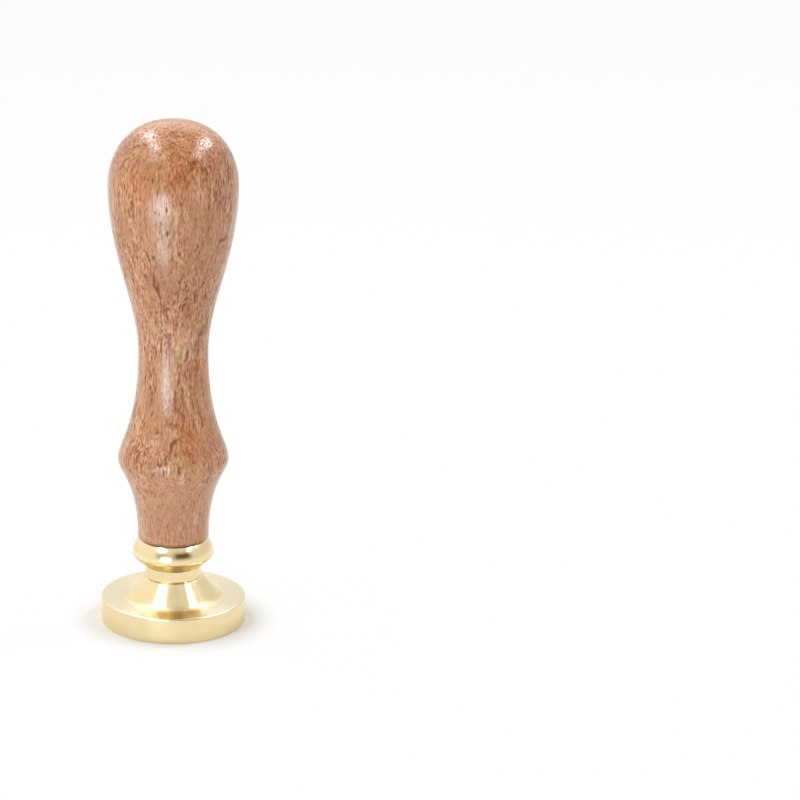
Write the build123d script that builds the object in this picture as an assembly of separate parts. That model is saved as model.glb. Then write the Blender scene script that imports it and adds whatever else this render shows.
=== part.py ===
from build123d import *
import math
import os

# Wax seal stamp: a turned wooden handle screwed on to an engraved brass head.
# Millimetres, +Z up, origin at the middle of the die face that the stamp stands on.

# Seal head, from the die face up
DIE_RADIUS = 12.5
DISC_HEIGHT = 4.4
DISC_TOP_ROUND = 0.3
DISC_FOOT_ROUND = 0.12
CONE_BASE_RADIUS = 8.25
CONE_HEIGHT = 3.7
CONE_TOP_ROUND = 0.5
LEDGE_WIDTH = 0.35
NECK_RADIUS = 4.85
NECK_HEIGHT = 1.85
UNDERSIDE_HEIGHT = 1.7
BEAD_RADIUS = 7.0
BEAD_LOWER_INSET = 0.25
BEAD_LOWER_HEIGHT = 0.56
BEAD_UPPER_HEIGHT = 2.69

# Die engraving: a rosette of carved petals with dots between them, inside a round groove
BORDER_INSET = 1.8
BORDER_WIDTH = 1.2
BORDER_DEPTH = 0.5
HUB_RADIUS = 2.4
PETAL_COUNT = 8
PETAL_WIDTH = 3.0
PETAL_DEPTH = 0.8
PETAL_BORDER_GAP = 0.9
DOT_WIDTH = 1.5
DOT_DEPTH = 0.5
DOT_BORDER_GAP = 0.6

# Handle, each height counted from the stage below it
FOOT_RADIUS = 6.1
FOOT_ROUND = 0.35
BULGE_RADIUS = 9.44
BULGE_RISE = 14.2
WAIST_RADIUS = 5.92
WAIST_RISE = 19.0
KNOB_RADIUS = 10.85
KNOB_RISE = 28.15
CROWN_RISE = 10.85

# How long the outline keeps its direction at each stage, as a share of the rise to the next stage
FOOT_SWEEP = 0.7
BULGE_LOWER_SWEEP = 0.135
BULGE_UPPER_SWEEP = 0.163
WAIST_LOWER_SWEEP = 0.684
WAIST_UPPER_SWEEP = 0.3
KNOB_LOWER_SWEEP = 0.426
KNOB_UPPER_SWEEP = 0.43
# The same on the crown, as a share of the knob's radius
CROWN_SWEEP = 0.75

# Stud: threaded into the head below, bonded into the handle above
THREAD_DIAMETER = 6.0
THREAD_PITCH = 1.0
THREAD_ANGLE = 60.0
THREAD_PLAY = 0.16
STUD_REACH = 8.5
STUD_GRIP = 18.0
STUD_END_BREAK = 0.4
SHANK_GROOVE_COUNT = 4
SHANK_GROOVE_DEPTH = 0.3
SHANK_GROOVE_SPACING = 3.6

# Tapped hole in the head
HOLE_SPARE = 1.0
RELIEF_HEIGHT = 1.0
RELIEF_DEPTH = 0.1
MOUTH_BREAK = 0.5
DRILL_POINT_ANGLE = 118.0

# Bore in the handle and the adhesive that fills it round the shank
GLUE_THICKNESS = 0.5
GLUE_SETBACK = 0.6
GLUE_FIT = 0.05
BORE_SPARE = 0.8

# Heights of the stages
CONE_BASE_Z = DISC_HEIGHT
CONE_TOP_Z = CONE_BASE_Z + CONE_HEIGHT
NECK_TOP_Z = CONE_TOP_Z + NECK_HEIGHT
BEAD_EDGE_Z = NECK_TOP_Z + UNDERSIDE_HEIGHT
BEAD_Z = BEAD_EDGE_Z + BEAD_LOWER_HEIGHT
SEAT_Z = BEAD_Z + BEAD_UPPER_HEIGHT
BULGE_Z = SEAT_Z + BULGE_RISE
WAIST_Z = BULGE_Z + WAIST_RISE
KNOB_Z = WAIST_Z + KNOB_RISE
CROWN_Z = KNOB_Z + CROWN_RISE

# Radii that follow from the stage beside them
CONE_TOP_RADIUS = NECK_RADIUS + LEDGE_WIDTH
BEAD_EDGE_RADIUS = BEAD_RADIUS - BEAD_LOWER_INSET

# Radii and heights that pieces share
SEAT_RADIUS = FOOT_RADIUS - FOOT_ROUND
SHANK_RADIUS = THREAD_DIAMETER / 2
BORE_RADIUS = SHANK_RADIUS + GLUE_THICKNESS
STUD_TIP_Z = SEAT_Z - STUD_REACH
STUD_TOP_Z = SEAT_Z + STUD_GRIP
HOLE_FLOOR_Z = STUD_TIP_Z - HOLE_SPARE
BORE_TOP_Z = STUD_TOP_Z + BORE_SPARE

# Metric thread form, and how far the stud's form and the hole's form are moved apart
FLANK_SLOPE = math.tan(math.radians(THREAD_ANGLE / 2))
SHARP_HEIGHT = THREAD_PITCH / (2 * FLANK_SLOPE)
MIDDLE_RADIUS = THREAD_DIAMETER / 2 - SHARP_HEIGHT * 3 / 8
ROOT_RADIUS = THREAD_DIAMETER / 2 - SHARP_HEIGHT * 5 / 8
STUD_SHIFT = -THREAD_PLAY / 2
HOLE_SHIFT = THREAD_PLAY / 2
FLANK_STEPS = 6


def turned(*edges):
    """The solid that a closed half outline makes when it is turned about the stamp's axis."""
    return revolve(Plane.XZ * make_face(Curve() + list(edges)), Axis.Z)


def drill_point(radius):
    """The height of the cone that a drill of this radius leaves at the end of its hole."""
    return radius / math.tan(math.radians(DRILL_POINT_ANGLE / 2))


def thread_section(shift):
    """The outline that a level cut through the thread shows, with its form moved out by shift."""
    crest = THREAD_DIAMETER / 2 + shift
    root = ROOT_RADIUS + shift
    crest_half = 90 - 360 * (THREAD_DIAMETER / 2 - MIDDLE_RADIUS) * FLANK_SLOPE / THREAD_PITCH
    root_half = 90 + 360 * (MIDDLE_RADIUS - ROOT_RADIUS) * FLANK_SLOPE / THREAD_PITCH

    def point(radius, angle):
        return (radius * math.cos(math.radians(angle)), radius * math.sin(math.radians(angle)))

    def flank(side):
        shares = [step / FLANK_STEPS for step in range(FLANK_STEPS + 1)]
        radii = [crest + (root - crest) * share for share in shares]
        angles = [crest_half + (root_half - crest_half) * share for share in shares]
        return Spline(*[point(radius, side * angle) for radius, angle in zip(radii, angles)])

    crest_arc = ThreePointArc(point(crest, -crest_half), point(crest, 0), point(crest, crest_half))
    root_arc = ThreePointArc(point(root, -root_half), point(root, 180), point(root, root_half))
    return make_face(Curve() + [crest_arc, flank(1), root_arc, flank(-1)]).face()


def threaded_rod(shift, low, high):
    """A right-hand threaded rod from low to high, in step with z = 0, as a stack of half turns or less."""
    count = math.ceil((high - low) / (THREAD_PITCH / 2))
    step = (high - low) / count
    turn = 360 / THREAD_PITCH
    slice_solid = Solid.extrude_linear_with_rotation(
        thread_section(shift), (0, 0, 0), (0, 0, step), turn * step
    )
    heights = [low + number * step for number in range(count)]
    slices = [Pos(0, 0, height) * Rot(0, 0, turn * height) * slice_solid for height in heights]
    return slices[0].fuse(*slices[1:])


def head_blank():
    """The turned head before its hole and its engraving."""
    foot = (DIE_RADIUS - DISC_FOOT_ROUND, 0)
    rim_low = (DIE_RADIUS, DISC_FOOT_ROUND)
    rim_high = (DIE_RADIUS, DISC_HEIGHT - DISC_TOP_ROUND)
    top_edge = (DIE_RADIUS - DISC_TOP_ROUND, DISC_HEIGHT)
    slope = math.atan2(CONE_HEIGHT, CONE_BASE_RADIUS - CONE_TOP_RADIUS)
    cone_cut = min(CONE_TOP_ROUND * math.tan(slope / 2), LEDGE_WIDTH)
    cone_end = (CONE_TOP_RADIUS + cone_cut * math.cos(slope), CONE_TOP_Z - cone_cut * math.sin(slope))
    ledge = (CONE_TOP_RADIUS - cone_cut, CONE_TOP_Z)
    bead_edge = (BEAD_EDGE_RADIUS, BEAD_EDGE_Z)
    equator = (BEAD_RADIUS, BEAD_Z)
    seat_edge = (SEAT_RADIUS, SEAT_Z)
    return turned(
        Polyline((0, SEAT_Z), (0, 0), foot),
        TangentArc(foot, rim_low, tangent=(1, 0)),
        Line(rim_low, rim_high),
        TangentArc(rim_high, top_edge, tangent=(0, 1)),
        Polyline(top_edge, (CONE_BASE_RADIUS, CONE_BASE_Z), cone_end),
        TangentArc(cone_end, ledge, tangent=(-math.cos(slope), math.sin(slope))),
        Polyline(ledge, (NECK_RADIUS, CONE_TOP_Z), (NECK_RADIUS, NECK_TOP_Z), bead_edge),
        TangentArc(equator, bead_edge, tangent=(0, -1)),
        TangentArc(equator, seat_edge, tangent=(0, 1)),
        Line(seat_edge, (0, SEAT_Z)),
    )


def tapped_hole():
    """What drill, tap and countersink take out of the head, one after the other."""
    relief_radius = THREAD_DIAMETER / 2 + HOLE_SHIFT + RELIEF_DEPTH
    mouth_radius = THREAD_DIAMETER / 2 + HOLE_SHIFT + MOUTH_BREAK
    drill_radius = ROOT_RADIUS + HOLE_SHIFT
    relief = turned(
        Polyline(
            (0, HOLE_FLOOR_Z - drill_point(drill_radius)),
            (drill_radius, HOLE_FLOOR_Z),
            (relief_radius, HOLE_FLOOR_Z),
            (relief_radius, HOLE_FLOOR_Z + RELIEF_HEIGHT),
            (0, HOLE_FLOOR_Z + RELIEF_HEIGHT),
            close=True,
        )
    )
    tap = threaded_rod(HOLE_SHIFT, HOLE_FLOOR_Z + RELIEF_HEIGHT / 2, SEAT_Z + THREAD_PITCH)
    mouth = turned(Polyline((0, SEAT_Z - mouth_radius), (mouth_radius, SEAT_Z), (0, SEAT_Z), close=True))
    return [relief, tap, mouth]


def round_hollow_radius(width, depth):
    """The radius of the round cutter that leaves a hollow of this width and depth."""
    return ((width / 2) ** 2 + depth**2) / (2 * depth)


def petal(length):
    """A spindle along X whose top, above z = 0, is one carved petal."""
    belly = round_hollow_radius(PETAL_WIDTH, PETAL_DEPTH)
    sweep_radius = round_hollow_radius(length, PETAL_DEPTH)
    tip = math.sqrt(sweep_radius**2 - (sweep_radius - belly) ** 2)
    arc = ThreePointArc((-tip, 0), (0, belly), (tip, 0))
    spindle = revolve(Plane.XZ * make_face(Curve() + [arc, Line((tip, 0), (-tip, 0))]), Axis.X)
    return Pos(0, 0, PETAL_DEPTH - belly) * spindle


def engraving():
    """The hollows of the die face: border groove, petals and dots."""
    border_radius = DIE_RADIUS - BORDER_INSET
    border_inner = border_radius - BORDER_WIDTH / 2
    groove_radius = round_hollow_radius(BORDER_WIDTH, BORDER_DEPTH)
    groove = Pos(0, 0, BORDER_DEPTH - groove_radius) * Torus(border_radius, groove_radius)
    petal_length = border_inner - PETAL_BORDER_GAP - HUB_RADIUS
    petal_place = HUB_RADIUS + petal_length / 2
    dot_radius = round_hollow_radius(DOT_WIDTH, DOT_DEPTH)
    dot_place = border_inner - DOT_BORDER_GAP - DOT_WIDTH / 2
    petals = PolarLocations(petal_place, PETAL_COUNT) * petal(petal_length)
    half_step = 180 / PETAL_COUNT
    dots = PolarLocations(dot_place, PETAL_COUNT, half_step) * Sphere(dot_radius)
    return [groove] + petals + [Pos(0, 0, DOT_DEPTH - dot_radius) * dot for dot in dots]


def seal_head():
    """The brass head with its tapped hole and engraved die face."""
    return head_blank() - tapped_hole() - engraving()


def handle():
    """The wooden handle with the blind bore for the stud."""
    foot_edge = (SEAT_RADIUS, SEAT_Z)
    foot = (FOOT_RADIUS, SEAT_Z + FOOT_ROUND)
    bulge = (BULGE_RADIUS, BULGE_Z)
    waist = (WAIST_RADIUS, WAIST_Z)
    knob = (KNOB_RADIUS, KNOB_Z)
    crown = (0, CROWN_Z)
    below_bulge = BULGE_RISE - FOOT_ROUND
    return turned(
        Polyline(
            crown,
            (0, BORE_TOP_Z + drill_point(BORE_RADIUS)),
            (BORE_RADIUS, BORE_TOP_Z),
            (BORE_RADIUS, SEAT_Z),
            foot_edge,
        ),
        TangentArc(foot, foot_edge, tangent=(0, -1)),
        Bezier(
            foot,
            (FOOT_RADIUS, foot[1] + FOOT_SWEEP * below_bulge),
            (BULGE_RADIUS, BULGE_Z - BULGE_LOWER_SWEEP * below_bulge),
            bulge,
        ),
        Bezier(
            bulge,
            (BULGE_RADIUS, BULGE_Z + BULGE_UPPER_SWEEP * WAIST_RISE),
            (WAIST_RADIUS, WAIST_Z - WAIST_LOWER_SWEEP * WAIST_RISE),
            waist,
        ),
        Bezier(
            waist,
            (WAIST_RADIUS, WAIST_Z + WAIST_UPPER_SWEEP * KNOB_RISE),
            (KNOB_RADIUS, KNOB_Z - KNOB_LOWER_SWEEP * KNOB_RISE),
            knob,
        ),
        Bezier(
            knob,
            (KNOB_RADIUS, KNOB_Z + KNOB_UPPER_SWEEP * CROWN_RISE),
            (CROWN_SWEEP * KNOB_RADIUS, CROWN_Z),
            crown,
        ),
    )


def grooved_side(radius, top):
    """The shank's side from the seat up to top, as half outline points: v grooves, moved out by the fit."""
    middle = SEAT_Z + STUD_GRIP / 2
    first = middle - SHANK_GROOVE_SPACING * (SHANK_GROOVE_COUNT - 1) / 2
    points = []
    for number in range(SHANK_GROOVE_COUNT):
        groove_z = first + number * SHANK_GROOVE_SPACING
        points.append((radius, groove_z - SHANK_GROOVE_DEPTH))
        points.append((radius - SHANK_GROOVE_DEPTH, groove_z))
        points.append((radius, groove_z + SHANK_GROOVE_DEPTH))
    return points + [(radius, top)]


def stud():
    """The steel stud: threaded below the seat, plain and grooved above it."""
    tip_radius = ROOT_RADIUS + STUD_SHIFT - STUD_END_BREAK / 2
    room_radius = SHANK_RADIUS + THREAD_PITCH
    thread_top = SEAT_Z + THREAD_PITCH / 2
    thread_room = turned(
        Polyline(
            (0, STUD_TIP_Z),
            (tip_radius, STUD_TIP_Z),
            (room_radius, STUD_TIP_Z + room_radius - tip_radius),
            (room_radius, thread_top),
            (0, thread_top),
            close=True,
        )
    )
    shank = turned(
        Polyline(
            (0, SEAT_Z),
            (SHANK_RADIUS, SEAT_Z),
            *grooved_side(SHANK_RADIUS, STUD_TOP_Z - STUD_END_BREAK),
            (SHANK_RADIUS - STUD_END_BREAK, STUD_TOP_Z),
            (0, STUD_TOP_Z),
            close=True,
        )
    )
    thread = threaded_rod(STUD_SHIFT, STUD_TIP_Z - THREAD_PITCH / 2, thread_top + THREAD_PITCH / 2)
    return shank + (thread & thread_room)


def glue_sleeve():
    """The cured adhesive between the shank and the bore, closed over the stud's end."""
    low = SEAT_Z + GLUE_SETBACK
    inner = SHANK_RADIUS + GLUE_FIT
    outer = BORE_RADIUS - GLUE_FIT
    inner_top = STUD_TOP_Z + GLUE_FIT
    outer_top = BORE_TOP_Z - GLUE_FIT
    return turned(
        Polyline(
            (outer, low),
            (inner, low),
            *grooved_side(inner, inner_top),
            (0, inner_top),
            (0, outer_top),
            (outer, outer_top),
            close=True,
        )
    )


def main():
    """Write one file for each piece."""
    os.makedirs("parts", exist_ok=True)
    pieces = {
        "seal_head": seal_head(),
        "handle": handle(),
        "stud": stud(),
        "glue_sleeve": glue_sleeve(),
    }
    for name, piece in pieces.items():
        export_step(piece, f"parts/{name}.step")


main()
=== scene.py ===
import math

import bmesh
import bpy
from mathutils import Matrix, Vector


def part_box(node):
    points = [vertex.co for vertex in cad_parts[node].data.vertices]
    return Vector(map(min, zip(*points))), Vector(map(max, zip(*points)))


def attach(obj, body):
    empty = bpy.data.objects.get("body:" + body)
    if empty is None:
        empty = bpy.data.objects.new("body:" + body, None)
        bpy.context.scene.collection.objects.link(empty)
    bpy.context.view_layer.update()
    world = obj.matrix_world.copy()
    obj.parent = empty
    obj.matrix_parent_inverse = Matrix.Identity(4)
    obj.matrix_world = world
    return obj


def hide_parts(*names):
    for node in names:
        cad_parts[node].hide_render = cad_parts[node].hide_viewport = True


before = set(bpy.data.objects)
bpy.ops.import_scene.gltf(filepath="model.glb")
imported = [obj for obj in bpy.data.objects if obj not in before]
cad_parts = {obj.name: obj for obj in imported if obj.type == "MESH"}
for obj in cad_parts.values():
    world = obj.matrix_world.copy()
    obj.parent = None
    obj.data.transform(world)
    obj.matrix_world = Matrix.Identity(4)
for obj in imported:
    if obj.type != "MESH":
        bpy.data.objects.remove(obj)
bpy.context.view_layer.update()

# Wax seal stamp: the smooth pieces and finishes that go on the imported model.
# Blender works in metres. Sizes below are in millimetres, and MM turns them into metres.
MM = 0.001

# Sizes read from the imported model
HEAD_HIGH = Vector(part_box("seal_head")[1]) / MM
HANDLE_LOW, HANDLE_HIGH = [Vector(corner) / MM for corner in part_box("handle")]
STUD_LOW, STUD_HIGH = [Vector(corner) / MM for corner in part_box("stud")]
DIE_RADIUS = HEAD_HIGH.x
SEAT_Z = HANDLE_LOW.z
KNOB_RADIUS = HANDLE_HIGH.x
CROWN_Z = HANDLE_HIGH.z
STUD_RADIUS = STUD_HIGH.x
STUD_TIP_Z = STUD_LOW.z
STUD_TOP_Z = STUD_HIGH.z

# Seal head, from the die face up
DISC_HEIGHT = 4.4
DISC_TOP_ROUND = 0.3
DISC_FOOT_ROUND = 0.12
CONE_BASE_RADIUS = 8.25
CONE_BASE_ROUND = 0.12
CONE_TOP_RADIUS = 5.2
CONE_TOP_Z = 8.1
CONE_TOP_ROUND = 0.5
NECK_RADIUS = 4.85
NECK_TOP_Z = 9.95
NECK_ROUND = 0.08
BEAD_EDGE_RADIUS = 6.75
BEAD_EDGE_Z = 11.65
BEAD_RADIUS = 7.0
BEAD_Z = 12.21

# Die engraving: a rosette of carved petals with dots between them, inside a round groove
BORDER_INSET = 1.8
BORDER_WIDTH = 1.2
BORDER_DEPTH = 0.5
HUB_RADIUS = 2.4
PETAL_COUNT = 8
PETAL_WIDTH = 3.0
PETAL_DEPTH = 0.8
PETAL_BORDER_GAP = 0.9
DOT_WIDTH = 1.5
DOT_DEPTH = 0.5
DOT_BORDER_GAP = 0.6

# Handle, from the foot up. A rise is the height above the stage before it.
FOOT_RADIUS = 6.1
FOOT_ROUND = 0.35
SEAT_RADIUS = FOOT_RADIUS - FOOT_ROUND
BULGE_RADIUS = 9.44
BULGE_RISE = 14.2
BULGE_Z = SEAT_Z + BULGE_RISE
WAIST_RADIUS = 5.92
WAIST_RISE = 19.0
WAIST_Z = BULGE_Z + WAIST_RISE
KNOB_RISE = 28.15
KNOB_Z = WAIST_Z + KNOB_RISE

# How long the handle's outline keeps its direction at each stage, as a share of the rise to the next stage
FOOT_SWEEP = 0.7
BULGE_LOWER_SWEEP = 0.135
BULGE_UPPER_SWEEP = 0.163
WAIST_LOWER_SWEEP = 0.684
WAIST_UPPER_SWEEP = 0.3
KNOB_LOWER_SWEEP = 0.426
KNOB_UPPER_SWEEP = 0.43
# The same on the crown, as a share of the knob's radius
CROWN_SWEEP = 0.75

# Thread: where its crest ends and its root starts is measured from the crest's middle, as shares of the pitch
PITCH = 1.0
FLANK_ANGLE = math.radians(30)
SHARP_HEIGHT = PITCH / (2 * math.tan(FLANK_ANGLE))
DEPTH_SHARE = 5 / 8
ROOT_RADIUS = STUD_RADIUS - SHARP_HEIGHT * DEPTH_SHARE
CREST_END = 1 / 16
ROOT_START = 3 / 8
PLAY = 0.16

# Stud, tapped hole and glued bore
STUD_END_BREAK = 0.4
GROOVE_COUNT = 4
GROOVE_DEPTH = 0.3
GROOVE_SPACING = 3.6
TIP_GAP = 1.0
HOLE_FLOOR_Z = STUD_TIP_Z - TIP_GAP
RELIEF_HEIGHT = 1.0
RELIEF_DEPTH = 0.1
MOUTH_BREAK = 0.5
GLUE_WALL = 0.5
BORE_RADIUS = STUD_RADIUS + GLUE_WALL
GLUE_TOP = 0.8
BORE_TOP_Z = STUD_TOP_Z + GLUE_TOP
DRILL_POINT = math.radians(118)
DRILL_SLOPE = math.tan(DRILL_POINT / 2)

# How fine the meshes are
SEGMENTS = 192
CURVE_STEPS = 44
ARC_STEPS = 8
BEAD_STEPS = 28
MERGE_DISTANCE = 0.001
SHARP_ANGLE = math.radians(22)

# Camera: where it stands, how far it looks down, and how its frame is moved to set the stamp at the left
CAMERA_PLACE = Vector((0, -350, 137))
CAMERA_DOWN = math.radians(15.59)
CAMERA_LENS = 96.345
CAMERA_SHIFT = 0.2834

# Colours, as linear red, green, blue and 1. A wood tone also has its place on a scale from pale to dark.
WOOD_TONES = (
    (0.388, (0.71, 0.396, 0.22, 1)),
    (0.465, (0.585, 0.277, 0.128, 1)),
    (0.535, (0.463, 0.189, 0.075, 1)),
    (0.612, (0.29, 0.082, 0.021, 1)),
)
# The pores' colour, also used for the painted shade at the foot's joint with the brass
WOOD_PORE_AND_SHADE = (0.17, 0.047, 0.013, 1)
BRASS_LIGHT = (0.90, 0.74, 0.44, 1)
BRASS_DEEP = (0.88, 0.715, 0.41, 1)
# Brass painted paler on faces that point up: painted light on the tops
BRASS_PAINTED_PALE = (0.87, 0.76, 0.53, 1)
# Darker brass in the recess under the bead and the corner at the cone's base: painted shade
BRASS_PAINTED_SHADE = (0.62, 0.47, 0.22, 1)
ZINC_LIGHT = (0.78, 0.79, 0.80, 1)
ZINC_DULL = (0.62, 0.64, 0.66, 1)
ADHESIVE_LIGHT = (0.66, 0.52, 0.28, 1)
ADHESIVE_DEEP = (0.50, 0.34, 0.14, 1)
FLOOR_COLOUR = (0.78, 0.77, 0.75, 1)
FULL_WHITE = (1, 1, 1, 1)

# Tints that multiply the wood's colour: along its hue, and in its redder, paler and darker places. The redder
# places are painted shade striped along the growth rings, the paler ones are painted reflection on the waist
# and bulge and the paler foot, and the darker ones are painted shade.
WOOD_TINTS = (
    (0.36, (1.0, 0.93, 0.93, 1)),
    (0.5, (1.0, 1.0, 1.0, 1)),
    (0.64, (0.98, 1.01, 0.94, 1)),
)
WOOD_RED_SHADE = (1.08, 0.79, 0.64, 1)
WOOD_PALE = (1.28, 1.48, 1.85, 1)
WOOD_PAINTED_SHADE = (0.77, 0.63, 0.62, 1)

# Those places: middle, radius and strength
# Redder patches on the front: painted shade, striped along the growth rings as ring figure
RED_SHADE_PATCHES = (((1, -9, 80), 9, 0.6), ((-5, -9, 77), 6, 0.7), ((6, -3, 45), 7, 0.5), ((4, -8, 34), 8, 0.4))
# Paler patches on the waist and bulge: painted reflection of the lights
PAINTED_REFLECTIONS = (((-5, -4, 46), 8, 0.45), ((-1, -6, 50), 6, 0.7), ((-1, -9, 31), 10, 0.55), ((8, -6, 29), 6, 0.4))
# Darker patches on the neck and the knob's left: painted shade
PAINTED_SHADES = (((2, -8, 61), 10, 0.6), ((-8, -6, 71), 7, 0.3))

# Where the foot is paler, from its lower edge up, and how much
PALE_FULL = 8
PALE_END = 17
PALE_SHARE = 0.45

# How far up the painted shade at the joint with the brass darkens the foot, and how much
FOOT_SHADE = 0.65
FOOT_SHADE_SHARE = 0.9

# The sockets by which a mix node takes two colours and gives one
FIRST_COLOUR = 6
SECOND_COLOUR = 7
MIXED_COLOUR = 2

# In the finishes below, a LAYER is a noise: the width and height of its spots, and how fine its detail is.
# A SPAN turns one value into another: where it starts and ends, and what it becomes there, or else 0 and 1.
# PORES have a width and a length, and how far from their middle they are dark and where they end.
# A BUMP has a strength and a height.

# Wood: the layers of its tone, how much each counts, the tone in the middle, and how the contrast varies
GRAIN_LAYER = (0.32, 0.75, 0.0)
FIBRE_LAYER = (0.36, 2.6, 1.0)
BAND_LAYER = (0.7, 22.0, 1.0)
FIGURE_LAYER = (1.6, 6.0, 2.0)
GRAIN_SHARE = 0.24
FIBRE_SHARE = 0.24
BAND_SHARE = 0.2
RING_SHARE = 0.16
FIGURE_SHARE = 0.16
MIDDLE_TONE = 0.5
CONTRAST_LAYER = (4.0, 9.0, 1.0)
CONTRAST_SPAN = (0.38, 0.62, 0.6, 1.2)

# Wood: how its hue varies, and how much of a redder place, painted shade striped along the growth rings, each
# ring takes
HUE_LAYER = (1.1, 3.4, 1.0)
RED_SHADE_RING_SPAN = (0.35, 0.6, 0.3, 1.0)

# Growth rings: the tree's middle, how wide a ring is, how fine its noise is, and how far it wanders
RING_MIDDLE = Vector((6, 48, 0))
RING_WIDTH = 0.9
RING_DETAIL = 2.0
RING_WANDER = 2.0
RING_WANDER_LAYER = (7.0, 26.0, 1.0)

# Pores in the wood, and how they crowd in some places
SHORT_PORES = (0.5, 1.7, 0.05, 0.28)
LONG_PORES = (0.75, 3.2, 0.08, 0.27)
CROWD_LAYER = (2.5, 6.0, 2.0)
CROWD_SPAN = (0.4, 0.6, 0.3, 1.0)

# Dark veins seen from the front: each one's upper and lower end as X and Z, half a vein's width,
# the length over which its ends fade, how far it wanders and how it is broken up
VEINS = (
    ((-4.9, 68.0), (-0.7, 54.0)),
    ((8.8, 70.5), (7.0, 65.0)),
    ((2.9, 51.5), (1.0, 44.0)),
    ((1.8, 36.4), (-4.3, 27.2)),
)
VEIN_HALF = 0.34
VEIN_END = 2.0
VEIN_WANDER = 0.5
VEIN_WANDER_LAYER = (2.0, 4.0, 1.0)
VEIN_WANDER_SPAN = (0.25, 0.75, -VEIN_WANDER * MM, VEIN_WANDER * MM)
VEIN_BREAK_LAYER = (1.2, 3.0, 2.0)
VEIN_BREAK_SPAN = (0.38, 0.52, 0.15, 0.85)

# The wood's surface and its lacquer, which is thinner on dark wood and over pores
WOOD_ROUGH_SPAN = (0.3, 0.7, 0.4, 0.55)
WOOD_BUMP = (0.6, 0.05)
WOOD_SHEEN = 0.15
WOOD_SHEEN_ROUGHNESS = 0.4
PORE_HEIGHT = -0.6
LACQUER_BUMP = (1.0, 0.035)
LACQUER_ROUGHNESS = 0.21
LACQUER_IOR = 1.58
LACQUER_TONE_SPAN = (0.5, 0.63, 1.0, 0.6)
LACQUER_PORE_SPAN = (0.0, 1.0, 1.0, 0.3)

# Brass: turning marks, handling haze, and which way a surface faces on the tops painted paler and in the
# recess painted with shade
BRASS_MARK_LAYER = (0.1, 0.1, 2.0)
BRASS_HAZE_LAYER = (2.4, 1.6, 3.0)
BRASS_HAZE_SPAN = (0.35, 0.7)
BRASS_PAINTED_PALE_SPAN = (0.85, 0.98)
BRASS_RECESS_SPAN = (-0.5, -0.2, 1.0, 0.0)

# Brass: how far it is rougher and painted with shade round the corner at the cone's base, and how strong the
# painted shade is there
CORNER_REACH = 1.1
CORNER_SHADE = 0.1

# Brass: its roughness, what the disc and the rougher places in the recess and the corner add to it, and how
# high over the disc that ends
BRASS_ROUGH_SPAN = (0.5, 1.1, 0.11, 0.16)
BRASS_MARK_SHARE = 0.6
DULL_ROUGHNESS = 0.25
DISC_ROUGHNESS = 0.09
DISC_ROUGH_FULL = 0.05
DISC_ROUGH_END = 0.4
BRASS_BUMP = (0.08, 0.01)
BRASS_ANISOTROPY = 0.8
BRASS_QUARTER_TURN = 0.25

# Zinc and adhesive
CLOUD_SPAN = (0.35, 0.65)
ZINC_MARK_LAYER = (0.12, 0.12, 2.0)
ZINC_CLOUD_LAYER = (1.2, 1.2, 3.0)
ZINC_ROUGH_SPAN = (0.3, 0.7, 0.22, 0.4)
ZINC_BUMP = (0.1, 0.02)
ADHESIVE_CLOUD_LAYER = (2.0, 2.0, 3.0)
BUBBLE_PORES = (0.6, 0.6, 0.1, 0.3)
ADHESIVE_ROUGH_SPAN = (0.3, 0.7, 0.2, 0.4)
ADHESIVE_BUMP = (0.3, 0.05)
ADHESIVE_SCATTER = 0.3
ADHESIVE_SCATTER_DEPTH = 1.0

# Light all round: how much of it surfaces take, and its level from the left to the right
AMBIENT = 0.30
SIDE_SPAN = (-0.9, 0.9, 1.06, 0.82)

# Dim patches behind the camera: the directions where each starts and ends, round from the camera to the
# right and then up, in degrees, and its strength. PATCH_EDGE is how far an edge fades to each side.
PATCH_COLOUR = (0.09, 0.045, 0.0, 1)
PATCH_EDGE = 12
DIM_PATCHES = (
    ((-52, -29), (8, 41), 0.55),
    ((-29, 4), (8, 41), 0.3),
    ((4, 54), (8, 41), 0.95),
    ((-14, 26), (41, 70), 0.15),
)

# Soft boxes above, and cards in front and just over the floor: place, the point faced, width and length of
# the face, colour and level. The length runs as near along Y as it can.
STAMP = (0, 0, 40)
WHITE = (1, 1, 1)
COOL = (0.72, 0.88, 1)
SOFT_BOXES = {
    "left_top": ((-262, 170, 600), STAMP, (140, 400), WHITE, 8.8),
    "left_middle": ((-262, -90, 600), STAMP, (110, 120), WHITE, 12.5),
    "left_front": ((-338, -320, 600), STAMP, (280, 250), WHITE, 4),
    "right_top": ((455, 230, 600), STAMP, (150, 260), WHITE, 13),
    "right_middle": ((420, -5, 600), STAMP, (70, 210), WHITE, 12),
    "right_front": ((450, -215, 600), STAMP, (100, 150), WHITE, 10),
    "back_box": ((0, 420, 460), STAMP, (600, 280), WHITE, 1.0),
    "low_card": ((-55, -146, 34), STAMP, (30, 80), COOL, 7.4),
    "far_card": ((-125, -330, 2), (-125, -330, 60), (150, 360), COOL, 2.5),
    "near_card": ((-40, -138, 2), (-40, -138, 60), (52, 116), COOL, 3.8),
    "side_card": ((-80, -25, 2), (-80, -25, 60), (90, 130), WHITE, 0.2),
}

# Floor: half its width, how much of it glows white near the stamp and far from it, and where
FLOOR_HALF = 3000
GLOW_NEAR = 0.0
GLOW_FAR = 0.96
GLOW_NEAR_RADIUS = 12.4
GLOW_FAR_RADIUS = 19


# Outlines

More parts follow.
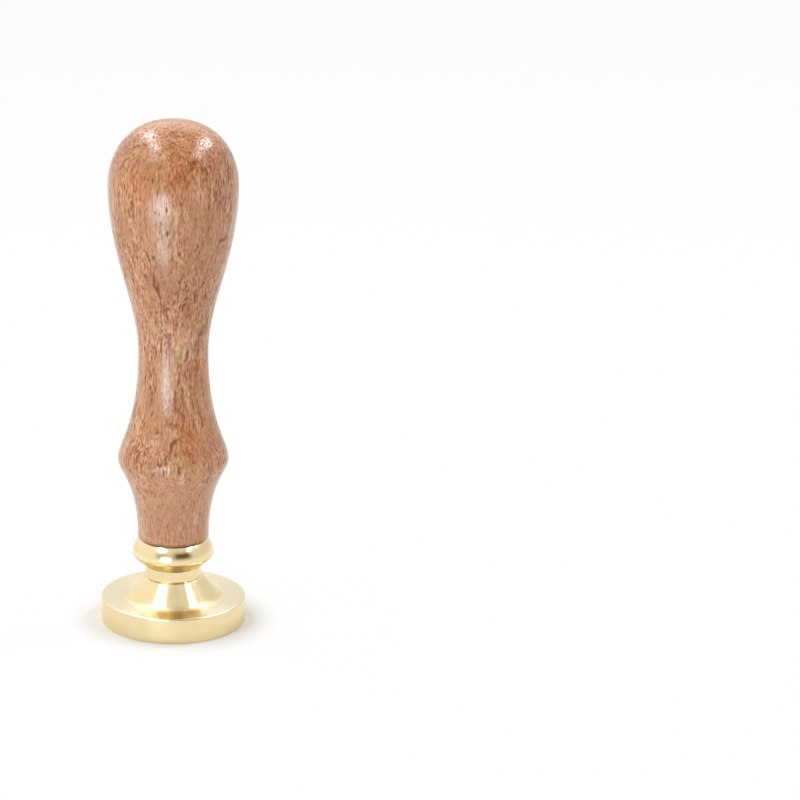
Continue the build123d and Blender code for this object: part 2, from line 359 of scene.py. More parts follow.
def bezier(start, first, second, end):
    """Points along one curve, from its start to its end."""
    points = []
    for step in range(CURVE_STEPS + 1):
        t = step / CURVE_STEPS
        weights = ((1 - t) ** 3, 3 * t * (1 - t) ** 2, 3 * t * t * (1 - t), t**3)
        corners = (start, first, second, end)
        points.append(tuple(sum(w * c[axis] for w, c in zip(weights, corners)) for axis in (0, 1)))
    return points


def arc(middle, start, end, steps):
    """Points along the shorter arc about middle, from start to end."""
    first = Vector(start) - Vector(middle)
    last = Vector(end) - Vector(middle)
    sweep = first.angle(last)
    points = []
    for step in range(steps + 1):
        t = step / steps
        way = (first * math.sin((1 - t) * sweep) + last * math.sin(t * sweep)) / math.sin(sweep)
        points.append(tuple(Vector(middle) + way))
    return points


def side_arc(widest, end, steps):
    """Points from a bead's widest point to another on it, along the arc that starts straight up or down."""
    inset = widest[0] - end[0]
    rise = end[1] - widest[1]
    radius = (inset**2 + rise**2) / (2 * inset)
    return arc((widest[0] - radius, widest[1]), widest, end, steps)


def eased(corners):
    """The outline through corners of (radius, height, round), with an arc at each that has a round."""
    points = []
    for number, (radius, height, size) in enumerate(corners):
        here = Vector((radius, height))
        if size == 0:
            points.append(tuple(here))
            continue
        before = (Vector(corners[number - 1][:2]) - here).normalized()
        after = (Vector(corners[number + 1][:2]) - here).normalized()
        half = before.angle(after) / 2
        reach = size / math.tan(half)
        middle = here + (before + after).normalized() * (size / math.sin(half))
        points += arc(middle, here + before * reach, here + after * reach, ARC_STEPS)
    return points


def hollow_radius(width, depth):
    """The radius of the round cutter that leaves a hollow of this width and depth."""
    return ((width / 2) ** 2 + depth**2) / (2 * depth)


def thread_rows(shift, low, high):
    """Rows along the screw line between two heights: flat crests and roots, with straight flanks."""
    crest = STUD_RADIUS + shift
    root = ROOT_RADIUS + shift

    def radius_at(turn, height):
        place = height / PITCH - turn
        away = abs(place - round(place))
        share = min(max((away - CREST_END) / (ROOT_START - CREST_END), 0), 1)
        return crest + (root - crest) * share

    def row(start):
        def point(turn):
            height = min(max((start + turn) * PITCH, low), high)
            return (radius_at(turn, height), height)
        return point

    first = math.floor(low / PITCH) - 1
    last = math.ceil(high / PITCH) + 1
    offsets = (-ROOT_START, -CREST_END, CREST_END, ROOT_START)
    return [row(number + offset) for number in range(first, last) for offset in offsets]


def handle_rows():
    """The handle's outline: down the outside from the crown, under the foot and up the bore."""
    crown = (0, CROWN_Z)
    knob = (KNOB_RADIUS, KNOB_Z)
    waist = (WAIST_RADIUS, WAIST_Z)
    bulge = (BULGE_RADIUS, BULGE_Z)
    foot = (FOOT_RADIUS, SEAT_Z + FOOT_ROUND)
    crown_rise = CROWN_Z - KNOB_Z
    foot_rise = BULGE_Z - foot[1]
    rows = bezier(
        crown,
        (CROWN_SWEEP * KNOB_RADIUS, CROWN_Z),
        (KNOB_RADIUS, KNOB_Z + KNOB_UPPER_SWEEP * crown_rise),
        knob,
    )
    rows += bezier(
        knob,
        (KNOB_RADIUS, KNOB_Z - KNOB_LOWER_SWEEP * KNOB_RISE),
        (WAIST_RADIUS, WAIST_Z + WAIST_UPPER_SWEEP * KNOB_RISE),
        waist,
    )
    rows += bezier(
        waist,
        (WAIST_RADIUS, WAIST_Z - WAIST_LOWER_SWEEP * WAIST_RISE),
        (BULGE_RADIUS, BULGE_Z + BULGE_UPPER_SWEEP * WAIST_RISE),
        bulge,
    )
    rows += bezier(
        bulge,
        (BULGE_RADIUS, BULGE_Z - BULGE_LOWER_SWEEP * foot_rise),
        (FOOT_RADIUS, foot[1] + FOOT_SWEEP * foot_rise),
        foot,
    )
    rows += arc((SEAT_RADIUS, foot[1]), foot, (SEAT_RADIUS, SEAT_Z), ARC_STEPS)
    rows += [(BORE_RADIUS, SEAT_Z), (BORE_RADIUS, BORE_TOP_Z), (0, BORE_TOP_Z + BORE_RADIUS / DRILL_SLOPE)]
    return rows


def groove_rows(border):
    """The outline of the round groove in the die face, from its inside to its outside."""
    middle = (border, BORDER_DEPTH - hollow_radius(BORDER_WIDTH, BORDER_DEPTH))
    floor = (border, BORDER_DEPTH)
    rows = arc(middle, (border - BORDER_WIDTH / 2, 0), floor, ARC_STEPS)
    rows += arc(middle, floor, (border + BORDER_WIDTH / 2, 0), ARC_STEPS)
    return rows


def hole_rows():
    """The outline of the tapped hole, from its mouth down to its tip."""
    crest = STUD_RADIUS + PLAY / 2
    drill = ROOT_RADIUS + PLAY / 2
    relief = crest + RELIEF_DEPTH
    relief_top = HOLE_FLOOR_Z + RELIEF_HEIGHT
    rows = [(crest + MOUTH_BREAK, SEAT_Z), (crest, SEAT_Z - MOUTH_BREAK)]
    rows += reversed(thread_rows(PLAY / 2, relief_top, SEAT_Z - MOUTH_BREAK))
    rows += [(relief, relief_top), (relief, HOLE_FLOOR_Z), (drill, HOLE_FLOOR_Z)]
    rows += [(0, HOLE_FLOOR_Z - drill / DRILL_SLOPE)]
    return rows


def head_rows():
    """The head's outline: along the die face, up the outside, over the seat and down the tapped hole."""
    border = DIE_RADIUS - BORDER_INSET
    bead_edge = (BEAD_EDGE_RADIUS, BEAD_EDGE_Z)
    bead = (BEAD_RADIUS, BEAD_Z)
    rows = groove_rows(border)
    rows += eased([
        (border + BORDER_WIDTH / 2, 0, 0),
        (DIE_RADIUS, 0, DISC_FOOT_ROUND),
        (DIE_RADIUS, DISC_HEIGHT, DISC_TOP_ROUND),
        (CONE_BASE_RADIUS, DISC_HEIGHT, CONE_BASE_ROUND),
        (CONE_TOP_RADIUS, CONE_TOP_Z, CONE_TOP_ROUND),
        (NECK_RADIUS, CONE_TOP_Z, NECK_ROUND),
        (NECK_RADIUS, NECK_TOP_Z, NECK_ROUND),
        (*bead_edge, 0),
    ])
    rows += reversed(side_arc(bead, bead_edge, ARC_STEPS))
    rows += side_arc(bead, (SEAT_RADIUS, SEAT_Z), BEAD_STEPS)
    rows += hole_rows()
    return rows


def stud_rows():
    """The stud's outline: the thread below the seat, and the grooved shank above it."""
    tip_radius = ROOT_RADIUS - PLAY / 2 - STUD_END_BREAK / 2
    middle = (SEAT_Z + STUD_TOP_Z) / 2
    first = middle - GROOVE_SPACING * (GROOVE_COUNT - 1) / 2
    rows = [(tip_radius, STUD_TIP_Z)]
    rows += thread_rows(-PLAY / 2, STUD_TIP_Z + STUD_END_BREAK, SEAT_Z)
    rows += [(STUD_RADIUS, SEAT_Z)]
    for number in range(GROOVE_COUNT):
        groove_z = first + number * GROOVE_SPACING
        rows += [(STUD_RADIUS, groove_z - GROOVE_DEPTH)]
        rows += [(STUD_RADIUS - GROOVE_DEPTH, groove_z)]
        rows += [(STUD_RADIUS, groove_z + GROOVE_DEPTH)]
    rows += [(STUD_RADIUS, STUD_TOP_Z - STUD_END_BREAK), (STUD_RADIUS - STUD_END_BREAK, STUD_TOP_Z)]
    return rows


# Meshes

def turned_mesh(name, rows):
    """A closed mesh about the axis. A row is a (radius, height), or a function that gives one for a turn."""
    bm = bmesh.new()
    turns = [step / SEGMENTS for step in range(SEGMENTS + 1)]
    grid = []
    for row in rows:
        line = []
        for turn in turns:
            radius, height = row(turn) if callable(row) else row
            angle = 2 * math.pi * turn
            line.append(bm.verts.new((radius * math.cos(angle), radius * math.sin(angle), height)))
        grid.append(line)
    for lower, upper in zip(grid, grid[1:]):
        for step in range(SEGMENTS):
            bm.faces.new((lower[step], lower[step + 1], upper[step + 1], upper[step]))
    bmesh.ops.remove_doubles(bm, verts=bm.verts, dist=MERGE_DISTANCE)
    bmesh.ops.holes_fill(bm, edges=bm.edges, sides=0)
    bmesh.ops.recalc_face_normals(bm, faces=bm.faces)
    bm.transform(Matrix.Scale(MM, 4))
    mesh = bpy.data.meshes.new(name)
    bm.to_mesh(mesh)
    bm.free()
    return mesh


def spindle_mesh(length, width, depth):
    """A spindle along X whose top stands above z = 0 by depth, over a patch of this length and width."""
    belly = hollow_radius(width, depth)
    sweep = hollow_radius(length, depth)
    tip = math.sqrt(sweep**2 - (sweep - belly) ** 2)
    outline = arc((belly - sweep, 0), (0, -tip), (belly, 0), BEAD_STEPS)
    outline += arc((belly - sweep, 0), (belly, 0), (0, tip), BEAD_STEPS)
    mesh = turned_mesh("spindle", outline)
    mesh.transform(Matrix.Translation((0, 0, (depth - belly) * MM)) @ Matrix.Rotation(math.pi / 2, 4, "Y"))
    return mesh


def engraving_mesh():
    """The petals and the dots between them that are cut into the die face."""
    inner = DIE_RADIUS - BORDER_INSET - BORDER_WIDTH / 2
    length = inner - PETAL_BORDER_GAP - HUB_RADIUS
    petal = spindle_mesh(length, PETAL_WIDTH, PETAL_DEPTH)
    dot = spindle_mesh(DOT_WIDTH, DOT_WIDTH, DOT_DEPTH)
    petal_place = HUB_RADIUS + length / 2
    dot_place = inner - DOT_BORDER_GAP - DOT_WIDTH / 2
    bm = bmesh.new()
    for number in range(PETAL_COUNT):
        for shape, place, part in ((petal, petal_place, number), (dot, dot_place, number + 1 / 2)):
            turned = shape.copy()
            turn = Matrix.Rotation(2 * math.pi * part / PETAL_COUNT, 4, "Z")
            turned.transform(turn @ Matrix.Translation((place * MM, 0, 0)))
            bm.from_mesh(turned)
    mesh = bpy.data.meshes.new("cutter")
    bm.to_mesh(mesh)
    bm.free()
    return mesh


def engraved(mesh):
    """The head's mesh with the engraving cut into its die face."""
    cutter = bpy.data.objects.new("cutter", engraving_mesh())
    blank = bpy.data.objects.new("blank", mesh)
    for new in (cutter, blank):
        bpy.context.scene.collection.objects.link(new)
    cut = blank.modifiers.new("engraving", "BOOLEAN")
    cut.operation = "DIFFERENCE"
    cut.solver = "EXACT"
    cut.object = cutter
    graph = bpy.context.evaluated_depsgraph_get()
    result = bpy.data.meshes.new_from_object(blank.evaluated_get(graph))
    for new in (cutter, blank):
        bpy.data.objects.remove(new)
    return result


def piece(name, mesh, node, body, finish):
    """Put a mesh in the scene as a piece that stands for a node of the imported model."""
    mesh.shade_smooth()
    mesh.set_sharp_from_angle(angle=SHARP_ANGLE)
    mesh.materials.clear()
    mesh.materials.append(finish)
    new = bpy.data.objects.new(name, mesh)
    bpy.context.scene.collection.objects.link(new)
    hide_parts(node)
    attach(new, body)


# Shader nodes

def fill(tree, new, inputs):
    """Set each of these inputs of a shader node to a value, or link it to a socket."""
    for name, value in inputs.items():
        if isinstance(value, bpy.types.NodeSocket):
            tree.links.new(value, new.inputs[name])
        else:
            new.inputs[name].default_value = value


def node(tree, kind, inputs, **settings):
    """Add a shader node with its inputs and settings."""
    new = tree.nodes.new(kind)
    for name, value in settings.items():
        setattr(new, name, value)
    fill(tree, new, inputs)
    return new


def new_material(name):
    """A material, its node tree and its shader node."""
    finish = bpy.data.materials.new(name)
    finish.use_nodes = True
    return finish, finish.node_tree, finish.node_tree.nodes["Principled BSDF"]


def coordinates(tree, kind):
    """Where a point is, or which way it faces, in one of the kinds that a shader knows."""
    return node(tree, "ShaderNodeTexCoord", {}).outputs[kind]


def split(tree, vector):
    """The three parts of a vector, by name."""
    return node(tree, "ShaderNodeSeparateXYZ", {"Vector": vector}).outputs


def maths(tree, operation, first, second=0.0):
    """One sum on two values."""
    return node(tree, "ShaderNodeMath", {0: first, 1: second}, operation=operation).outputs["Value"]


def weighted(tree, parts):
    """The sum of values, each times its share."""
    total = 0.0
    for value, share in parts:
        total = maths(tree, "ADD", total, maths(tree, "MULTIPLY", value, share))
    return total


def spread(tree, value, low, high, start=0.0, end=1.0):
    """Value turned from low to high into start to end, smoothly and without leaving that span."""
    inputs = {"Value": value, "From Min": low, "From Max": high, "To Min": start, "To Max": end}
    return node(tree, "ShaderNodeMapRange", inputs, interpolation_type="SMOOTHSTEP").outputs["Result"]


def distance(tree, place, point):
    """How far a place is from a point given in millimetres, in metres."""
    inputs = {0: place, 1: Vector(point) * MM}
    return node(tree, "ShaderNodeVectorMath", inputs, operation="DISTANCE").outputs["Value"]


def from_axis(tree, parts):
    """How far a place is from the Z axis, from its parts."""
    squares = [maths(tree, "POWER", parts[axis], 2.0) for axis in ("X", "Y")]
    return maths(tree, "SQRT", maths(tree, "ADD", *squares))


def scaled(tree, place, width, height):
    """Coordinates in which one unit is this many millimetres wide and high."""
    scale = (1 / (width * MM), 1 / (width * MM), 1 / (height * MM))
    return node(tree, "ShaderNodeMapping", {"Vector": place, "Scale": scale}).outputs["Vector"]


def layer(tree, place, width, height, detail):
    """Soft noise around 0.5, with spots of about this width and height."""
    inputs = {"Vector": scaled(tree, place, width, height), "Scale": 1.0, "Detail": detail}
    return node(tree, "ShaderNodeTexNoise", inputs).outputs["Fac"]


def pores(tree, place, width, length, dark, end):
    """Pores along the grain: 1 in their dark middle and 0 from their end on."""
    inputs = {"Vector": scaled(tree, place, width, length), "Scale": 1.0}
    cells = node(tree, "ShaderNodeTexVoronoi", inputs).outputs["Distance"]
    return spread(tree, cells, dark, end, 1.0, 0.0)


def bumped(tree, shape, strength, height):
    """Normals of a surface that this shape makes uneven, by a height in millimetres."""
    inputs = {"Height": shape, "Strength": strength, "Distance": height * MM}
    return node(tree, "ShaderNodeBump", inputs).outputs["Normal"]


def blended(tree, share, first, second, kind="MIX"):
    """The first colour turned into the second by a share from 0 to 1, or mixed with it in another way."""
    inputs = {"Factor": share, FIRST_COLOUR: first, SECOND_COLOUR: second}
    return node(tree, "ShaderNodeMix", inputs, data_type="RGBA", blend_type=kind).outputs[MIXED_COLOUR]


def tinted(tree, colour, tint, share=1.0):
    """A colour multiplied by a tint, by a share from 0 to 1."""
    return blended(tree, share, colour, tint, "MULTIPLY")


def ramp(tree, value, tones):
    """A colour for each value, along tones given as places and colours."""
    new = node(tree, "ShaderNodeValToRGB", {"Fac": value})
    stops = new.color_ramp.elements
    while len(stops) < len(tones):
        stops.new(1.0)
    for stop, (place, colour) in zip(stops, tones):
        stop.position = place
        stop.color = colour
    return new.outputs["Color"]


# Wood

def growth_rings(tree, place):
    """Uneven growth rings, from 0 to 1, along the distance from the tree's middle."""
    inputs = {"Vector": place, "Location": RING_MIDDLE * -MM}
    shifted = node(tree, "ShaderNodeMapping", inputs, vector_type="POINT").outputs["Vector"]
    radius = maths(tree, "DIVIDE", from_axis(tree, split(tree, shifted)), MM)
    even = maths(tree, "SUBTRACT", radius, RING_MIDDLE.length)
    wander = layer(tree, place, *RING_WANDER_LAYER)
    depth = maths(tree, "ADD", even, spread(tree, wander, 0.0, 1.0, -RING_WANDER, RING_WANDER))
    inputs = {"W": maths(tree, "DIVIDE", depth, RING_WIDTH), "Scale": 1.0, "Detail": RING_DETAIL}
    return node(tree, "ShaderNodeTexNoise", inputs, noise_dimensions="1D").outputs["Fac"]


def open_pores(tree, place):
    """Short and long pores, which crowd in some places."""
    crowd = spread(tree, layer(tree, place, *CROWD_LAYER), *CROWD_SPAN)
    short_pores = maths(tree, "MULTIPLY", pores(tree, place, *SHORT_PORES), crowd)
    long_pores = maths(tree, "MULTIPLY", pores(tree, place, *LONG_PORES), crowd)
    return maths(tree, "MAXIMUM", short_pores, long_pores)


def vein(tree, across, height, top, low):
    """One vein along the slanting line between two points given as X and Z: 1 in its middle."""
    lean = (top[0] - low[0]) / (top[1] - low[1])
    middle = maths(tree, "ADD", maths(tree, "MULTIPLY", height, lean), (low[0] - lean * low[1]) * MM)
    away = maths(tree, "ABSOLUTE", maths(tree, "SUBTRACT", across, middle))
    line = spread(tree, away, 0.0, VEIN_HALF * MM, 1.0, 0.0)
    above = spread(tree, height, low[1] * MM, (low[1] + VEIN_END) * MM)
    below = spread(tree, height, (top[1] - VEIN_END) * MM, top[1] * MM, 1.0, 0.0)
    return maths(tree, "MULTIPLY", maths(tree, "MULTIPLY", line, above), below)


def veins(tree, place):
    """Dark veins along slanting lines, wandering a little and broken up along the grain."""
    parts = split(tree, place)
    wander = spread(tree, layer(tree, place, *VEIN_WANDER_LAYER), *VEIN_WANDER_SPAN)
    across = maths(tree, "ADD", parts["X"], wander)
    share = 0.0
    for top, low in VEINS:
        share = maths(tree, "MAXIMUM", share, vein(tree, across, parts["Z"], top, low))
    broken = spread(tree, layer(tree, place, *VEIN_BREAK_LAYER), *VEIN_BREAK_SPAN)
    return maths(tree, "MULTIPLY", share, broken)


def patches(tree, place, spots):
    """Soft patches, each strongest in its middle."""
    share = 0.0
    for middle, radius, strength in spots:
        away = distance(tree, place, middle)
        share = maths(tree, "MAXIMUM", share, spread(tree, away, 0.0, radius * MM, strength, 0.0))
    return share


def pale_foot(tree, place):
    """The paler lower part of the handle."""
    full = (SEAT_Z + PALE_FULL) * MM
    end = (SEAT_Z + PALE_END) * MM
    return spread(tree, split(tree, place)["Z"], full, end, PALE_SHARE, 0.0)


def foot_shade(tree, place):
    """A dark line of painted shade round the foot's lower edge, at the joint with the brass."""
    end = (SEAT_Z + FOOT_SHADE) * MM
    return spread(tree, split(tree, place)["Z"], SEAT_Z * MM, end, FOOT_SHADE_SHARE, 0.0)


def wood_tone(tree, place, grain, fibre, rings, even):
    """How dark the wood is, with a contrast that varies and is lower where the wood is even."""
    tone = weighted(tree, (
        (grain, GRAIN_SHARE),
        (fibre, FIBRE_SHARE),
        (layer(tree, place, *BAND_LAYER), BAND_SHARE),
        (rings, RING_SHARE),
        (layer(tree, place, *FIGURE_LAYER), FIGURE_SHARE),
    ))
    contrast = spread(tree, layer(tree, place, *CONTRAST_LAYER), *CONTRAST_SPAN)
    contrast = maths(tree, "MULTIPLY", contrast, maths(tree, "SUBTRACT", 1.0, even))
    away = maths(tree, "MULTIPLY", maths(tree, "SUBTRACT", tone, MIDDLE_TONE), contrast)
    return maths(tree, "ADD", away, MIDDLE_TONE)


def wood_colour(tree, place, tone, rings, pale):
    """The colour of the wood between its pores."""
    hue = layer(tree, place, *HUE_LAYER)
    wood = tinted(tree, ramp(tree, tone, WOOD_TONES), ramp(tree, hue, WOOD_TINTS))
    striped = spread(tree, rings, *RED_SHADE_RING_SPAN)
    # Redder patches on the front: painted shade, striped along the growth rings as ring figure
    wood = tinted(tree, wood, WOOD_RED_SHADE, maths(tree, "MULTIPLY", patches(tree, place, RED_SHADE_PATCHES), striped))
    # Darker patches on the neck and the knob's left: painted shade
    wood = tinted(tree, wood, WOOD_PAINTED_SHADE, patches(tree, place, PAINTED_SHADES))
    # Paler patches on the waist and bulge are painted reflection; the paler foot is added too
    wood = tinted(tree, wood, WOOD_PALE, maths(tree, "MAXIMUM", patches(tree, place, PAINTED_REFLECTIONS), pale))
    # Painted shade at the foot's joint with the brass, in the pores' colour
    return blended(tree, foot_shade(tree, place), wood, WOOD_PORE_AND_SHADE)


def lacquered_wood():
    """Reddish brown hardwood with short dark pores along the grain, under a satin lacquer."""
    finish, tree, shader = new_material("lacquered_wood")
    place = coordinates(tree, "Object")
    grain = layer(tree, place, *GRAIN_LAYER)
    fibre = layer(tree, place, *FIBRE_LAYER)
    rings = growth_rings(tree, place)
    # The wood is paler towards the foot
    pale = pale_foot(tree, place)
    tone = wood_tone(tree, place, grain, fibre, rings, pale)
    holes = open_pores(tree, place)
    gaps = maths(tree, "MAXIMUM", holes, veins(tree, place))
    gaps = maths(tree, "MULTIPLY", gaps, maths(tree, "SUBTRACT", 1.0, pale))
    on_dark = spread(tree, tone, *LACQUER_TONE_SPAN)
    on_gaps = spread(tree, gaps, *LACQUER_PORE_SPAN)
    sunk = maths(tree, "MULTIPLY", holes, PORE_HEIGHT)
    fill(tree, shader, {
        "Base Color": blended(tree, gaps, wood_colour(tree, place, tone, rings, pale), WOOD_PORE_AND_SHADE),
        "Roughness": spread(tree, fibre, *WOOD_ROUGH_SPAN),
        "Specular IOR Level": 0.0,
        "Normal": bumped(tree, maths(tree, "ADD", sunk, grain), *WOOD_BUMP),
        "Sheen Weight": WOOD_SHEEN,
        "Sheen Roughness": WOOD_SHEEN_ROUGHNESS,
        "Coat Weight": maths(tree, "MULTIPLY", on_dark, on_gaps),
        "Coat Roughness": LACQUER_ROUGHNESS,
        "Coat IOR": LACQUER_IOR,
        "Coat Normal": bumped(tree, maths(tree, "ADD", sunk, fibre), *LACQUER_BUMP),
    })
    return finish


# Brass, zinc and adhesive

def turned_place(tree):
    """Where a point is on a turned piece: its distance from the axis along X, and its height along Z."""
    parts = split(tree, coordinates(tree, "Object"))
    inputs = {"X": from_axis(tree, parts), "Z": parts["Z"]}
    return node(tree, "ShaderNodeCombineXYZ", inputs).outputs["Vector"]


def near_corner(tree):
    """1 in the corner at the cone's base, falling to 0 at a short reach from it."""
    away = distance(tree, turned_place(tree), (CONE_BASE_RADIUS, 0, DISC_HEIGHT))
    return spread(tree, away, 0.0, CORNER_REACH * MM, 1.0, 0.0)


def under_bead(tree, facing, height):
    """1 in the recess under the bead, where the brass is rougher and painted with shade."""
    low = spread(tree, height, CONE_TOP_Z * MM, NECK_TOP_Z * MM)
    return maths(tree, "MULTIPLY", spread(tree, facing, *BRASS_RECESS_SPAN), low)


def brass_colour(tree, haze, facing, recess, corner):
    """Yellow brass, painted paler on faces that point up and painted with shade in the recess and the corner.
    """
    colour = blended(tree, spread(tree, haze, *BRASS_HAZE_SPAN), BRASS_LIGHT, BRASS_DEEP)
    # Paler brass on faces that point up: painted light on the tops
    colour = blended(tree, spread(tree, facing, *BRASS_PAINTED_PALE_SPAN), colour, BRASS_PAINTED_PALE)
    # Darker brass in the recess under the bead and round the corner at the cone's base: painted shade
    dull_and_shaded = maths(tree, "MAXIMUM", recess, maths(tree, "MULTIPLY", corner, CORNER_SHADE))
    return blended(tree, dull_and_shaded, colour, BRASS_PAINTED_SHADE)


def brass_roughness(tree, haze, marks, height, dull_and_shaded):
    """How rough the brass is: most in the recess and the corner, and more on the disc than above it."""
    uneven = maths(tree, "ADD", haze, maths(tree, "MULTIPLY", marks, BRASS_MARK_SHARE))
    full = (DISC_HEIGHT + DISC_ROUGH_FULL) * MM
    end = (DISC_HEIGHT + DISC_ROUGH_END) * MM
    disc = spread(tree, height, full, end, DISC_ROUGHNESS, 0.0)
    added = maths(tree, "ADD", disc, maths(tree, "MULTIPLY", dull_and_shaded, DULL_ROUGHNESS))
    return maths(tree, "ADD", added, spread(tree, uneven, *BRASS_ROUGH_SPAN))


def polished_brass():
    """Polished yellow brass with faint turning marks and a little handling haze."""
    finish, tree, shader = new_material("polished_brass")
    marks = layer(tree, turned_place(tree), *BRASS_MARK_LAYER)
    haze = layer(tree, coordinates(tree, "Object"), *BRASS_HAZE_LAYER)
    facing = split(tree, coordinates(tree, "Normal"))["Z"]
    height = split(tree, coordinates(tree, "Object"))["Z"]
    recess = under_bead(tree, facing, height)
    corner = near_corner(tree)
    dull_and_shaded = maths(tree, "MAXIMUM", recess, corner)
    round_about = node(tree, "ShaderNodeTangent", {}, direction_type="RADIAL", axis="Z")
    fill(tree, shader, {
        "Base Color": brass_colour(tree, haze, facing, recess, corner),
        "Metallic": 1.0,
        "Roughness": brass_roughness(tree, haze, marks, height, dull_and_shaded),
        "Normal": bumped(tree, marks, *BRASS_BUMP),
        "Anisotropic": BRASS_ANISOTROPY,
        "Anisotropic Rotation": BRASS_QUARTER_TURN,
        "Tangent": round_about.outputs["Tangent"],
    })
    return finish


def zinc_plated_steel():
    """Bright zinc plating, a little cloudy, with the marks of thread rolling."""
    finish, tree, shader = new_material("zinc_plated_steel")
    marks = layer(tree, turned_place(tree), *ZINC_MARK_LAYER)
    cloud = layer(tree, coordinates(tree, "Object"), *ZINC_CLOUD_LAYER)
    fill(tree, shader, {
        "Base Color": blended(tree, spread(tree, cloud, *CLOUD_SPAN), ZINC_LIGHT, ZINC_DULL),
        "Metallic": 1.0,
        "Roughness": spread(tree, cloud, *ZINC_ROUGH_SPAN),
        "Normal": bumped(tree, marks, *ZINC_BUMP),
    })
    return finish


def cured_adhesive():
    """Cloudy amber adhesive with small bubbles."""
    finish, tree, shader = new_material("cured_adhesive")
    place = coordinates(tree, "Object")
    cloud = layer(tree, place, *ADHESIVE_CLOUD_LAYER)
    bubbles = pores(tree, place, *BUBBLE_PORES)
    clear = blended(tree, spread(tree, cloud, *CLOUD_SPAN), ADHESIVE_LIGHT, ADHESIVE_DEEP)
    fill(tree, shader, {
        "Base Color": blended(tree, bubbles, clear, ADHESIVE_LIGHT),
        "Roughness": spread(tree, cloud, *ADHESIVE_ROUGH_SPAN),
        "Normal": bumped(tree, bubbles, *ADHESIVE_BUMP),
        "Subsurface Weight": ADHESIVE_SCATTER,
        "Subsurface Scale": ADHESIVE_SCATTER_DEPTH * MM,
    })
    return finish


# Stage, light and camera

def reflected(tree, path):
    """1 for rays from a reflection or through glass, and 0 for others."""
    return maths(tree, "MAXIMUM", path["Is Glossy Ray"], path["Is Transmission Ray"])


def within(tree, value, limits):
    """1 where an angle lies inside limits in degrees, falling softly to 0 outside them."""
    low, high = [math.radians(limit) for limit in limits]
    edge = math.radians(PATCH_EDGE)
    above = spread(tree, value, low - edge, low + edge)
    below = spread(tree, value, high - edge, high + edge, 1.0, 0.0)
    return maths(tree, "MULTIPLY", above, below)


def dimness(tree, way):
    """How dim the light all round is in each direction, from 0 to 1."""
    rise = maths(tree, "ARCSINE", way["Z"])
    towards = maths(tree, "MULTIPLY", way["Y"], -1.0)
    turn = maths(tree, "ARCTAN2", way["X"], towards)
    dim = 0.0
    for turns, rises, strength in DIM_PATCHES:
        patch = maths(tree, "MULTIPLY", within(tree, turn, turns), within(tree, rise, rises))
        dim = maths(tree, "ADD", dim, maths(tree, "MULTIPLY", patch, strength))
    return dim


def add_world():
    """Light all round: white to the camera, a plain level on surfaces, and dim patches behind the camera."""
    world = bpy.data.worlds.new("studio")
    world.use_nodes = True
    tree = world.node_tree
    way = split(tree, coordinates(tree, "Generated"))
    path = node(tree, "ShaderNodeLightPath", {}).outputs
    share = spread(tree, reflected(tree, path), 0.0, 1.0, AMBIENT, 1.0)
    level = maths(tree, "MULTIPLY", spread(tree, way["X"], *SIDE_SPAN), share)
    fill(tree, tree.nodes["Background"], {
        "Color": blended(tree, dimness(tree, way), FULL_WHITE, PATCH_COLOUR),
        "Strength": spread(tree, path["Is Camera Ray"], 0.0, 1.0, level, 1.0),
    })
    bpy.context.scene.world = world


def floor_finish():
    """A pale floor that glows white to the camera and in reflections, but not near the stamp."""
    finish, tree, shader = new_material("floor")
    fill(tree, shader, {"Base Color": FLOOR_COLOUR, "Roughness": 1.0, "Specular IOR Level": 0.0})
    path = node(tree, "ShaderNodeLightPath", {}).outputs
    seen = maths(tree, "MAXIMUM", path["Is Camera Ray"], reflected(tree, path))
    away = distance(tree, coordinates(tree, "Object"), (0, 0, 0))
    glow = spread(tree, away, GLOW_NEAR_RADIUS * MM, GLOW_FAR_RADIUS * MM, GLOW_NEAR, GLOW_FAR)
    white = node(tree, "ShaderNodeEmission", {"Color": FULL_WHITE, "Strength": 1.0})
    share = maths(tree, "MULTIPLY", seen, glow)
    inputs = {0: share, 1: shader.outputs["BSDF"], 2: white.outputs["Emission"]}
    both = node(tree, "ShaderNodeMixShader", inputs)
    fill(tree, tree.nodes["Material Output"], {"Surface": both.outputs["Shader"]})
    return finish


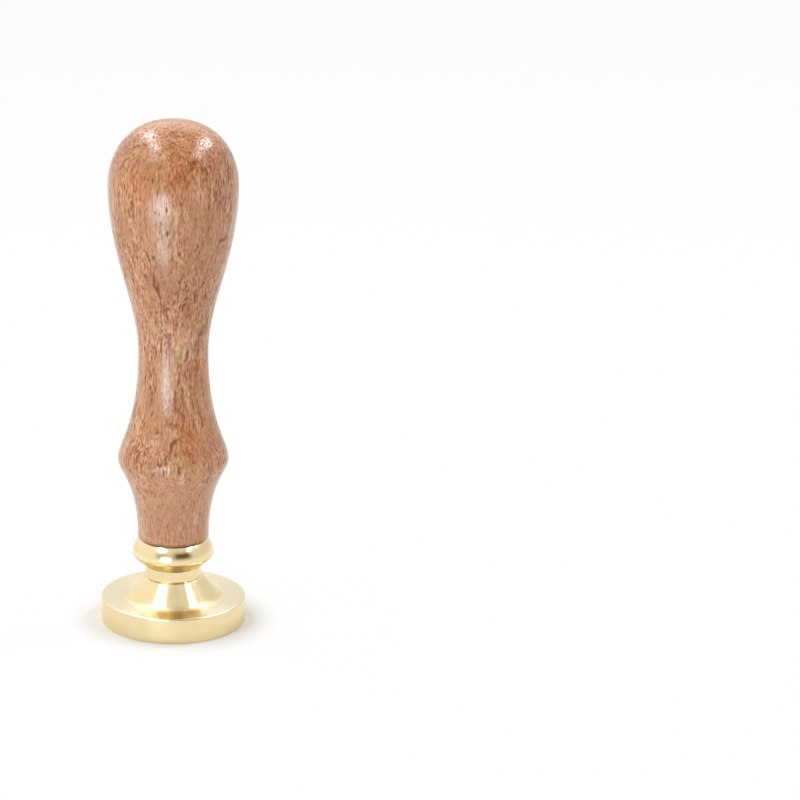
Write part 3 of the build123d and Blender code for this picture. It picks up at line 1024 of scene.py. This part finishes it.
def add_floor():
    """A wide pale floor that shows white and still takes the stamp's shadow."""
    mesh = bpy.data.meshes.new("floor")
    half = FLOOR_HALF * MM
    corners = [(-half, -half, 0), (half, -half, 0), (half, half, 0), (-half, half, 0)]
    mesh.from_pydata(corners, [], [(0, 1, 2, 3)])
    mesh.materials.append(floor_finish())
    floor = bpy.data.objects.new("floor", mesh)
    bpy.context.scene.collection.objects.link(floor)


def add_light(name, place, aim, width, length, colour, radiance):
    """A soft box that faces a point, with its length as near along Y as that allows."""
    light = bpy.data.lights.new(name, "AREA")
    light.shape = "RECTANGLE"
    light.size = width * MM
    light.size_y = length * MM
    light.color = colour
    light.energy = radiance * math.pi * light.size * light.size_y
    box = bpy.data.objects.new(name, light)
    back = (Vector(place) - Vector(aim)).normalized()
    side = Vector((0, 1, 0)).cross(back).normalized()
    turn = Matrix((side, back.cross(side), back)).transposed().to_4x4()
    box.matrix_world = Matrix.Translation(Vector(place) * MM) @ turn
    box.visible_camera = False
    bpy.context.scene.collection.objects.link(box)


def add_camera():
    """The camera at the photograph's viewing angle."""
    camera = bpy.data.cameras.new("camera")
    camera.lens = CAMERA_LENS
    camera.shift_x = CAMERA_SHIFT
    holder = bpy.data.objects.new("camera", camera)
    holder.location = CAMERA_PLACE * MM
    holder.rotation_euler = (math.pi / 2 - CAMERA_DOWN, 0, 0)
    bpy.context.scene.collection.objects.link(holder)
    bpy.context.scene.camera = holder


# The scene

piece("turned_handle", turned_mesh("turned_handle", handle_rows()), "handle", "handle",
      lacquered_wood())
piece("engraved_head", engraved(turned_mesh("engraved_head", head_rows())), "seal_head", "seal_head",
      polished_brass())
piece("threaded_stud", turned_mesh("threaded_stud", stud_rows()), "stud", "handle",
      zinc_plated_steel())
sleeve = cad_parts["glue_sleeve"]
sleeve.data.materials.clear()
sleeve.data.materials.append(cured_adhesive())

add_world()
add_floor()
for name, (place, aim, size, colour, radiance) in SOFT_BOXES.items():
    add_light(name, place, aim, *size, colour, radiance)
add_camera()
bpy.context.scene.view_settings.view_transform = "Standard"
